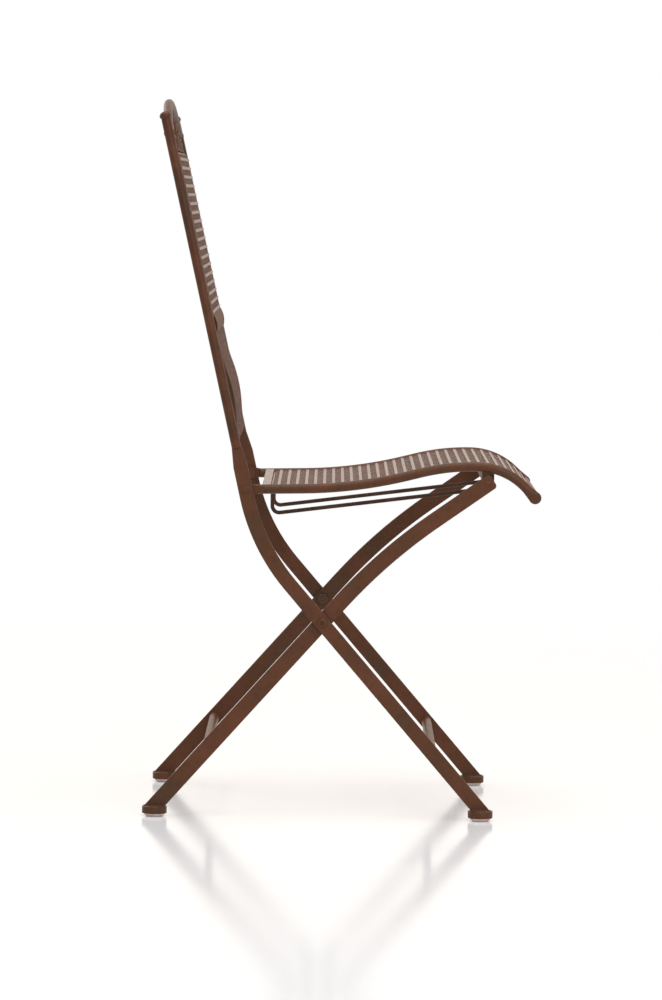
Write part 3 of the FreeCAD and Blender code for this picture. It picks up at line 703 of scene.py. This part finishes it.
class GARDEN_CHAIR_OT_welds(bpy.types.Operator):
    """Lay the weld beads and tacks that hold the frame together"""
    bl_idname = "garden_chair.welds"
    bl_label = "Welds"

    def execute(self, context):
        sizes = sizes_of(context)
        beads = {"back_frame": bmesh.new(), "rear_legs": bmesh.new(), "seat": bmesh.new()}
        self.stretchers(beads, sizes)
        self.posts(beads["back_frame"], sizes)
        self.feet(beads, sizes)
        self.seat(beads["seat"], sizes)
        self.strips(beads, sizes)
        self.scrolls(beads["back_frame"], sizes)
        for body, bm in beads.items():
            new_piece("welds_" + body, bm, body, frame_paint(context), 60.0)
        return {"FINISHED"}

    def stretchers(self, beads, sizes):
        for node in ("front_stretcher", "rear_stretcher"):
            low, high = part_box(node)
            middle = (low + high) / 2
            for side in SIDES:
                end = Vector((middle.x, side * (high.y - sizes.bead * 0.2), middle.z))
                loop = ring(end, ACROSS, (high.z - low.z) / 2 + sizes.bead * 0.15)
                weld_bead(beads[body_of(node)], loop, sizes.bead, sizes.ripple)

    def posts(self, bm, sizes):
        for post in POSTS:
            foot, along, radius = post_line(post)
            # The foot of the post is ground back until its bead all but disappears.
            loop = ring(foot, along, radius - sizes.bead * 0.5)
            weld_bead(bm, loop, sizes.bead * GROUND_BEAD, sizes.ripple)
            for node in ("back_top_rail", "panel_top_rail", "panel_middle_rail", "back_bottom_rail"):
                weld_bead(bm, self.seam(node, foot, along, radius), sizes.bead * RAIL_BEAD, sizes.ripple)
        band = loose_parts("panel_middle_rail")[1]
        for side in SIDES:
            loop = resampled(self.in_order(self.tip(band, side), along), 60)
            weld_bead(bm, loop, sizes.bead * BAR_BEAD, sizes.ripple)

    def tip(self, spots, side):
        """The places at one end of a strip or bar that runs across the chair."""
        reach = max(side * p.y for p in spots)
        return [p for p in spots if side * p.y > reach - END_REACH]

    def in_order(self, spots, along):
        """Places sorted round their middle, as seen along the rails of the back."""
        centre = sum(spots, Vector()) / len(spots)
        ahead = along.cross(ACROSS)
        return sorted(spots, key=lambda p: math.atan2((p - centre).dot(along), (p - centre).dot(ahead)))

    def seam(self, node, foot, along, radius):
        """The line along which a rail of the back meets a post, in order round the rail."""
        found = []
        for spot in loose_parts(node)[0]:
            out = spot - foot
            out -= along * out.dot(along)
            if abs(out.length - radius) < 0.06 * MM:
                found.append(spot)
        return resampled(self.in_order(found, along))

    def feet(self, beads, sizes):
        for leg in LEGS:
            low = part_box(leg)[0]
            sole = [p for p in loose_parts(leg)[0] if p.z < low.z + END_REACH]
            x_low, x_high = min(p.x for p in sole), max(p.x for p in sole)
            y_low, y_high = min(p.y for p in sole), max(p.y for p in sole)
            loop = [Vector((x, y, low.z)) for x, y in
                    ((x_low, y_low), (x_high, y_low), (x_high, y_high), (x_low, y_high))]
            weld_bead(beads[body_of(leg)], resampled(loop, 60), sizes.bead * RAIL_BEAD, sizes.ripple)

    def seat(self, bm, sizes):
        low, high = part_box("seat_front_rail")
        middle = (low + high) / 2
        for side in SIDES:
            end = Vector((middle.x, side * high.y, middle.z))
            loop = ring(end, ACROSS, (high.z - low.z) / 2 - sizes.bead * 0.4)
            weld_bead(bm, loop, sizes.bead * RAIL_BEAD, sizes.ripple)
        for node in ("right_guide_wire", "left_guide_wire"):
            spots = loose_parts(node)[0]
            low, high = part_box(node)
            halfway = (low.x + high.x) / 2
            for keep in ([p for p in spots if p.x < halfway], [p for p in spots if p.x >= halfway]):
                level = max(p.z for p in keep)
                tip = [p for p in keep if p.z > level - END_REACH]
                centre = sum(tip, Vector()) / len(tip)
                radius = max((p - centre).length for p in tip)
                weld_bead(bm, ring(centre, UP, radius * 0.9, 24), sizes.bead * WIRE_BEAD, sizes.ripple)

    def strips(self, beads, sizes):
        for node in ("seat_cross_strips", "seat_rear_border"):
            for spots in loose_parts(node):
                half = max(p.y for p in spots)
                middle = sum(spots, Vector()) / len(spots)
                far = max(spots, key=lambda p: (p.x - middle.x) ** 2 + (p.z - middle.z) ** 2)
                ahead = Vector((far.x - middle.x, 0, far.z - middle.z)).normalized()
                up = ahead.cross(ACROSS)
                for side in SIDES:
                    at = Vector((middle.x, side * half, middle.z))
                    tack_weld(beads[body_of(node)], at, ahead, up, sizes.tack)
        for side, post in zip(SIDES, POSTS):
            self.post_tacks(beads["back_frame"], side, post, sizes)
        for spots in loose_parts("back_uprights"):
            ends = (max(p.z for p in spots), min(p.z for p in spots))
            for level in ends:
                tip = [p for p in spots if abs(p.z - level) < 2 * MM]
                at = sum(tip, Vector()) / len(tip)
                tack_weld(beads["back_frame"], at, ACROSS, UP, sizes.tack)

    def post_tacks(self, bm, side, post, sizes):
        """Drops of weld that reach from the ends of the cross strips and the half-round bar to a post."""
        foot, along, radius = post_line(post)
        tips = [self.tip(spots, side) for spots in loose_parts("back_cross_strips")]
        ends = [sum(tip, Vector()) / len(tip) for tip in tips]
        bar = sorted(self.tip(loose_parts("panel_middle_rail")[1], side), key=along.dot)
        ends += [bar[0].lerp(bar[-1], (i + 0.5) / BAR_END_TACKS) for i in range(BAR_END_TACKS)]
        for end in ends:
            out = end - foot
            out -= along * out.dot(along)
            touch = end - out * (1 - radius / out.length)
            out.normalize()
            tack_weld(bm, (end + touch) / 2, -out, out.cross(along), sizes.tack * POST_TACK)

    def scrolls(self, bm, sizes):
        along = post_line(POSTS[0])[1]
        for spots in loose_parts("arch_scrolls"):
            for pick in (max, min):
                reach = pick(p.dot(along) for p in spots)
                tip = [p for p in spots if abs(p.dot(along) - reach) < 0.3 * MM]
                at = sum(tip, Vector()) / len(tip)
                tack_weld(bm, at, ACROSS, along, sizes.tack * SCROLL_TACK)


class GARDEN_CHAIR_OT_stage(bpy.types.Operator):
    """Lay the pale floor, hang the lamps and set the camera"""
    bl_idname = "garden_chair.stage"
    bl_label = "Stage"

    def execute(self, context):
        stage = stage_of(context)
        self.floor(context, stage)
        self.surround(context, stage)
        lamps = (("overhead lamp", (0.3, -0.6, 5.0), (0.0, 0.0, 0.3), 4.4, stage.key),
                 ("camera side lamp", (1.6, -4.2, 2.2), (0.0, 0.0, 0.4), 2.4, stage.fill),
                 ("far side lamp", (-2.4, 3.0, 2.4), (0.0, 0.0, 0.4), 2.4, stage.far))
        for name, at, aim, width, power in lamps:
            lamp = bpy.data.lights.new(name, "AREA")
            lamp.shape = "DISK"
            lamp.size = width
            lamp.energy = power
            hung = bpy.data.objects.new(name, lamp)
            context.scene.collection.objects.link(hung)
            hung.location = at
            hung.rotation_euler = (Vector(aim) - Vector(at)).to_track_quat("-Z", "Y").to_euler()
        camera = bpy.data.cameras.new("photo camera")
        camera.sensor_fit = "VERTICAL"
        camera.sensor_height = 36.0
        camera.lens = stage.focal
        camera.clip_end = 60.0
        taken = bpy.data.objects.new("photo camera", camera)
        context.scene.collection.objects.link(taken)
        place = Matrix.Translation((stage.camera_x, -stage.camera_away, stage.camera_height))
        taken.matrix_world = (place @ Matrix.Rotation(math.radians(90) - stage.tilt, 4, "X")
                              @ Matrix.Rotation(stage.roll, 4, "Z"))
        context.scene.camera = taken
        context.scene.view_settings.view_transform = "Standard"
        return {"FINISHED"}

    def floor(self, context, stage):
        # Sealed white studio floor: bright, even, with a soft mirror image near what stands on it.
        # Towards its rim it thins out into the white surround, so no edge shows.
        material = bpy.data.materials.new("sealed white studio floor")
        material.use_nodes = True
        tree = material.node_tree
        tree.nodes.clear()
        place = add_node(tree, "ShaderNodeTexCoord").outputs["Object"]
        scuffs = add_node(tree, "ShaderNodeTexNoise", {"Scale": per_metre(180.0), "Detail": 3.0},
                          {"Vector": place})
        dull = add_node(tree, "ShaderNodeMapRange", {"To Min": 0.09, "To Max": 0.15},
                        {"Value": scuffs.outputs["Fac"]})
        lit = add_node(tree, "ShaderNodeBsdfPrincipled", {"Base Color": rgba(stage.floor), "IOR": 1.45},
                       {"Roughness": dull.outputs["Result"]})
        path = add_node(tree, "ShaderNodeLightPath")
        lift = add_node(tree, "ShaderNodeMath", {"operation": "MULTIPLY", 1: stage.lift},
                        {0: path.outputs["Is Camera Ray"]})
        pale = add_node(tree, "ShaderNodeEmission", {"Color": (1.0, 1.0, 1.0, 1.0)},
                        {"Strength": lift.outputs[0]})
        bright = add_node(tree, "ShaderNodeAddShader", None,
                          {0: lit.outputs["BSDF"], 1: pale.outputs["Emission"]})
        away = add_node(tree, "ShaderNodeVectorMath", {"operation": "LENGTH"}, {0: place})
        rim = add_node(tree, "ShaderNodeMapRange",
                       {"interpolation_type": "SMOOTHSTEP", "From Min": FLOOR_FADE_FROM,
                        "From Max": FLOOR_RADIUS},
                       {"Value": away.outputs["Value"]})
        clear = add_node(tree, "ShaderNodeBsdfTransparent")
        blended = add_node(tree, "ShaderNodeMixShader", None,
                           {0: rim.outputs["Result"], 1: bright.outputs["Shader"], 2: clear.outputs["BSDF"]})
        add_node(tree, "ShaderNodeOutputMaterial", None, {"Surface": blended.outputs["Shader"]})
        bm = bmesh.new()
        bmesh.ops.create_circle(bm, cap_ends=True, segments=96, radius=FLOOR_RADIUS)
        mesh = bpy.data.meshes.new("studio floor")
        bm.to_mesh(mesh)
        bm.free()
        mesh.materials.append(material)
        floor = bpy.data.objects.new("studio_floor", mesh)
        context.scene.collection.objects.link(floor)

    def surround(self, context, stage):
        # The eye sees plain white and every reflection a warm one; the object is lit at a gentler level.
        world = bpy.data.worlds.new("white surround")
        context.scene.world = world
        world.use_nodes = True
        tree = world.node_tree
        tree.nodes.clear()
        path = add_node(tree, "ShaderNodeLightPath")
        seen = add_node(tree, "ShaderNodeMath", {"operation": "MAXIMUM"},
                        {0: path.outputs["Is Camera Ray"], 1: path.outputs["Is Glossy Ray"]})
        any_seen = add_node(tree, "ShaderNodeMath", {"operation": "MAXIMUM"},
                            {0: seen.outputs[0], 1: path.outputs["Is Transmission Ray"]})
        level = add_node(tree, "ShaderNodeMapRange", {"To Min": stage.sky, "To Max": 1.0},
                         {"Value": any_seen.outputs[0]})
        tone = add_node(tree, "ShaderNodeMix",
                        {"data_type": "RGBA", 6: rgba((1.0, 1.0, 1.0)), 7: rgba(stage.glow)},
                        {0: path.outputs["Is Glossy Ray"]})
        light = add_node(tree, "ShaderNodeBackground", None,
                         {"Color": tone.outputs[2], "Strength": level.outputs["Result"]})
        add_node(tree, "ShaderNodeOutputWorld", None, {"Surface": light.outputs["Background"]})


OPERATORS = (
    GARDEN_CHAIR_OT_leg_bars,
    GARDEN_CHAIR_OT_tubes,
    GARDEN_CHAIR_OT_lattice,
    GARDEN_CHAIR_OT_scrolls,
    GARDEN_CHAIR_OT_finials,
    GARDEN_CHAIR_OT_feet,
    GARDEN_CHAIR_OT_fasteners,
    GARDEN_CHAIR_OT_welds,
    GARDEN_CHAIR_OT_stage,
)
SETTINGS = {
    "garden_chair_finish": GardenChairFinish,
    "garden_chair_sizes": GardenChairSizes,
    "garden_chair_stage": GardenChairStage,
}


class GARDEN_CHAIR_PT_sidebar(bpy.types.Panel):
    """Colours, sizes and steps of the garden chair"""
    bl_idname = "GARDEN_CHAIR_PT_sidebar"
    bl_label = "Garden Chair"
    bl_space_type = "VIEW_3D"
    bl_region_type = "UI"
    bl_category = "Garden Chair"

    def draw(self, context):
        layout = self.layout
        for name, group in SETTINGS.items():
            box = layout.box()
            for key in group.__annotations__:
                box.prop(getattr(context.scene, name), key)
        for operator in OPERATORS:
            layout.operator(operator.bl_idname)


def register():
    for group in SETTINGS.values():
        bpy.utils.register_class(group)
    for operator in OPERATORS:
        bpy.utils.register_class(operator)
    bpy.utils.register_class(GARDEN_CHAIR_PT_sidebar)
    for name, group in SETTINGS.items():
        setattr(bpy.types.Scene, name, PointerProperty(type=group))


def unregister():
    for name in SETTINGS:
        delattr(bpy.types.Scene, name)
    bpy.utils.unregister_class(GARDEN_CHAIR_PT_sidebar)
    for operator in reversed(OPERATORS):
        bpy.utils.unregister_class(operator)
    for group in reversed(SETTINGS.values()):
        bpy.utils.unregister_class(group)


def main():
    register()
    for operator in OPERATORS:
        step = operator.bl_idname.split(".")[1]
        getattr(bpy.ops.garden_chair, step)()


if __name__ == "__main__":
    main()
